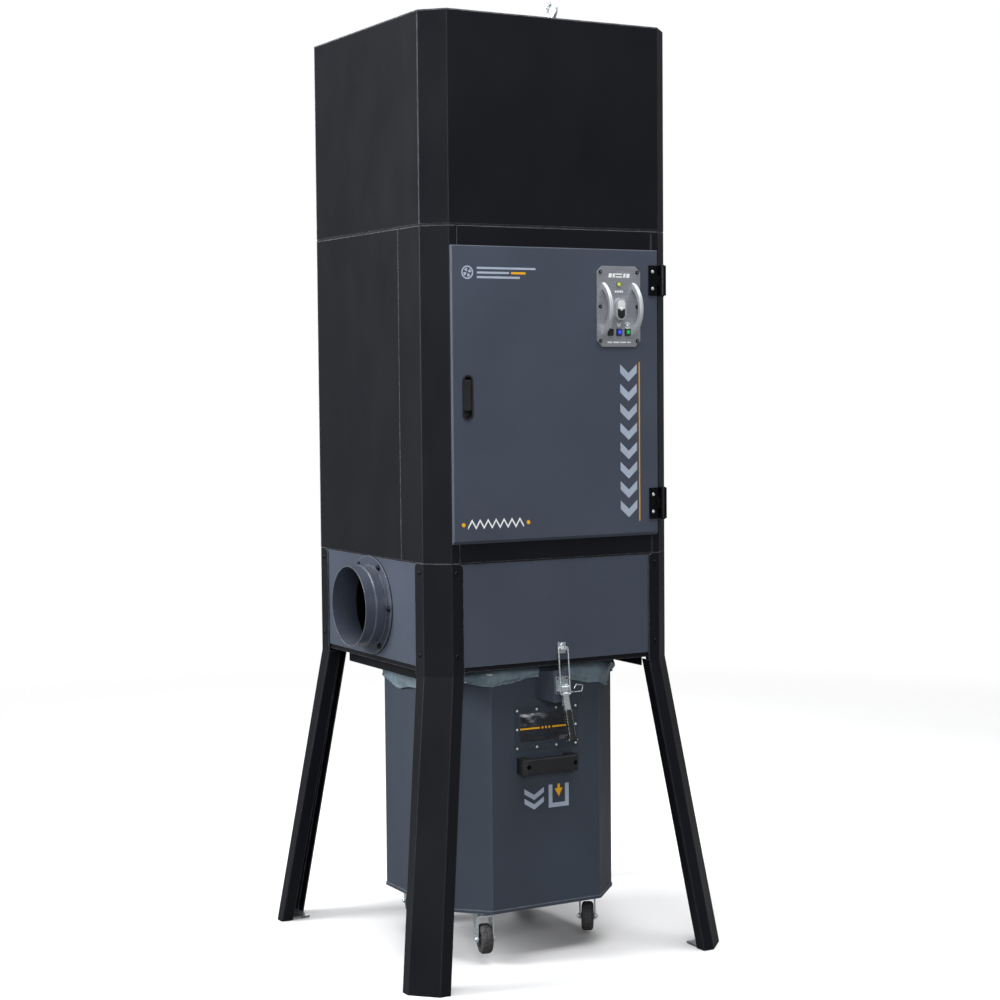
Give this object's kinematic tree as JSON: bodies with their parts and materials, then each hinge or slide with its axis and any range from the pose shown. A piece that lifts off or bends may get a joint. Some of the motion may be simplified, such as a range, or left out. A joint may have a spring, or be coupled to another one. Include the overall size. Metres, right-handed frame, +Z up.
{
  "type": "dust collector",
  "caption": "Tall free-standing workshop dust collector on splayed legs, with a filter cabinet, side duct inlet, blower hood and a latched roll-out bin.",
  "frame": {"origin": "floor level, at the centre of the footprint over the feet", "axes": "+Z up, -Y towards the door and bin side, -X towards the duct inlet"},
  "size_m": [0.9, 0.9, 2.3725],
  "materials": {
    "black_powder": "satin black powder coat, fine texture",
    "grey_powder": "satin blue-grey powder coat, fine texture",
    "galvanised": "galvanised sheet",
    "zinc": "bright zinc plate",
    "black_oxide": "black oxide",
    "brushed_plate": "brushed, clear coated",
    "satin_bow": "satin cast",
    "motor_paint": "painted ribbed casting",
    "impeller_alloy": "as cut",
    "seal_rubber": "matt",
    "wheel_rubber": "matt dark grey",
    "black_plastic": "moulded, fine grain",
    "white_plastic": "moulded, gloss",
    "blue_lens": "translucent lens",
    "green_lens": "translucent lens",
    "clear_sheet": "clear flexible sheet",
    "film": "thin translucent film",
    "filter_media": "pleated non-woven"
  },
  "bodies": {
    "frame": {"legs": "black_powder", "foot_plates": "galvanised", "leg_screws": "black_oxide", "section_panels": "grey_powder", "section_frames": "black_powder", "frame_seals": "seal_rubber", "inlet_spigot": "grey_powder", "inlet_bolts": "black_oxide", "cabinet_side_panels": "black_powder", "cabinet_back_panel": "black_powder", "front_posts": "black_powder", "door_rails": "black_powder", "filter_deck": "galvanised", "filter_cartridge": "filter_media", "filter_caps": "galvanised", "blower_housing": "galvanised", "motor_mount": "black_powder", "motor_housing": "motor_paint", "hood_front_cover": "black_powder", "hood_side_panels": "black_powder", "hood_back_cover": "black_powder", "hood_top": "black_powder", "cable_gland": "black_plastic", "eye_bolts": "zinc", "latch_keeper": "zinc", "frame_hinge_leaves": "black_oxide"},
    "rotor": {"rotor": "impeller_alloy"},
    "door": {"door_panel": "grey_powder", "door_gasket": "seal_rubber", "door_hinge_leaves": "black_oxide", "pull_cup": "black_plastic", "control_plate": "brushed_plate", "bow_guards": "satin_bow", "button_bezel": "white_plastic", "control_box": "black_plastic"},
    "pull_lever": {"pull_lever": "black_plastic"},
    "latch_bolt": {"latch_bolt": "zinc"},
    "start_button": {"start_button": "white_plastic"},
    "stop_button": {"stop_button": "black_plastic"},
    "mode_key": {"mode_key": "black_plastic"},
    "clean_key": {"clean_key": "blue_lens"},
    "power_key": {"power_key": "green_lens"},
    "bin": {"bin_shell": "grey_powder", "liner_bag": "film", "window_pane": "clear_sheet", "window_rivets": "white_plastic", "bridge_handle": "black_plastic", "latch_mount": "zinc", "caster_plates": "zinc"},
    "latch_lever": {"latch_lever": "zinc"},
    "latch_bail": {"latch_bail": "zinc"},
    "latch_clip": {"latch_clip": "zinc"},
    "caster_front_left": {"caster_fork_front_left": "zinc"},
    "wheel_front_left": {"caster_wheel_front_left": "wheel_rubber"},
    "caster_front_right": {"caster_fork_front_right": "zinc"},
    "wheel_front_right": {"caster_wheel_front_right": "wheel_rubber"},
    "caster_back_left": {"caster_fork_back_left": "zinc"},
    "wheel_back_left": {"caster_wheel_back_left": "wheel_rubber"},
    "caster_back_right": {"caster_fork_back_right": "zinc"},
    "wheel_back_right": {"caster_wheel_back_right": "wheel_rubber"}
  },
  "joints": [
    {"name": "door_hinge", "type": "hinge", "parent": "frame", "child": "door", "pos_m": [0.298, -0.368, 1.4], "axis": [0, 0, 1], "range_deg": [0, 165]},
    {"name": "pull_lever_swing", "type": "hinge", "parent": "door", "child": "pull_lever", "pos_m": [-0.2555, -0.3565, 1.45], "axis": [-1, 0, 0], "range_deg": [0, 35], "stiffness_Nm_per_rad": 0.15},
    {"name": "latch_bolt_slide", "type": "slide", "parent": "door", "child": "latch_bolt", "axis": [1, 0, 0], "range_m": [0, 0.008]},
    {"name": "start_press", "type": "slide", "parent": "door", "child": "start_button", "axis": [0, 1, 0], "range_m": [0, 0.003], "stiffness_N_per_m": 400},
    {"name": "stop_press", "type": "slide", "parent": "door", "child": "stop_button", "axis": [0, 1, 0], "range_m": [0, 0.003], "stiffness_N_per_m": 400},
    {"name": "mode_press", "type": "slide", "parent": "door", "child": "mode_key", "axis": [0, 1, 0], "range_m": [0, 0.003], "stiffness_N_per_m": 300},
    {"name": "clean_press", "type": "slide", "parent": "door", "child": "clean_key", "axis": [0, 1, 0], "range_m": [0, 0.003], "stiffness_N_per_m": 300},
    {"name": "power_press", "type": "slide", "parent": "door", "child": "power_key", "axis": [0, 1, 0], "range_m": [0, 0.003], "stiffness_N_per_m": 300},
    {"name": "rotor_spin", "type": "hinge", "parent": "frame", "child": "rotor", "pos_m": [0, 0.03, 2.1], "axis": [0, 0, 1], "continuous": true},
    {"name": "bin_roll_out", "type": "slide", "parent": "frame", "child": "bin", "axis": [0, -1, 0], "range_m": [0, 0.75]},
    {"name": "latch_lever_swing", "type": "hinge", "parent": "bin", "child": "latch_lever", "pos_m": [0.008, -0.36, 0.69], "axis": [-1, 0, 0], "range_deg": [0, 120]},
    {"name": "latch_bail_swing", "type": "hinge", "parent": "latch_lever", "child": "latch_bail", "pos_m": [0.008, -0.366, 0.676], "axis": [-1, 0, 0], "range_deg": [-146, 0]},
    {"name": "latch_clip_swing", "type": "hinge", "parent": "bin", "child": "latch_clip", "pos_m": [0.029, -0.3535, 0.678], "axis": [0, 1, 0], "range_deg": [-25, 25], "stiffness_Nm_per_rad": 0.03},
    {"name": "swivel_front_left", "type": "hinge", "parent": "bin", "child": "caster_front_left", "pos_m": [-0.155, -0.222, 0.12], "axis": [0, 0, 1], "continuous": true},
    {"name": "spin_front_left", "type": "hinge", "parent": "caster_front_left", "child": "wheel_front_left", "pos_m": [-0.16177, -0.24917, 0.0605], "axis": [0.9703, -0.2419, 0], "continuous": true},
    {"name": "swivel_front_right", "type": "hinge", "parent": "bin", "child": "caster_front_right", "pos_m": [0.155, -0.222, 0.12], "axis": [0, 0, 1], "continuous": true},
    {"name": "spin_front_right", "type": "hinge", "parent": "caster_front_right", "child": "wheel_front_right", "pos_m": [0.17066, -0.19879, 0.0605], "axis": [-0.829, 0.5592, 0], "continuous": true},
    {"name": "swivel_back_left", "type": "hinge", "parent": "bin", "child": "caster_back_left", "pos_m": [-0.155, 0.156, 0.12], "axis": [0, 0, 1], "continuous": true},
    {"name": "spin_back_left", "type": "hinge", "parent": "caster_back_left", "child": "wheel_back_left", "pos_m": [-0.14728, 0.18292, 0.0605], "axis": [-0.9613, 0.2756, 0], "continuous": true},
    {"name": "swivel_back_right", "type": "hinge", "parent": "bin", "child": "caster_back_right", "pos_m": [0.155, 0.156, 0.12], "axis": [0, 0, 1], "continuous": true},
    {"name": "spin_back_right", "type": "hinge", "parent": "caster_back_right", "child": "wheel_back_right", "pos_m": [0.17706, 0.17324, 0.0605], "axis": [-0.6157, 0.788, 0], "continuous": true}
  ],
  "couplings": [
    {"joint": "latch_bolt_slide", "follows": "pull_lever_swing", "m_per_rad": 0.013},
    {"joint": "latch_bail_swing", "follows": "latch_lever_swing", "ratio": -1.2}
  ]
}
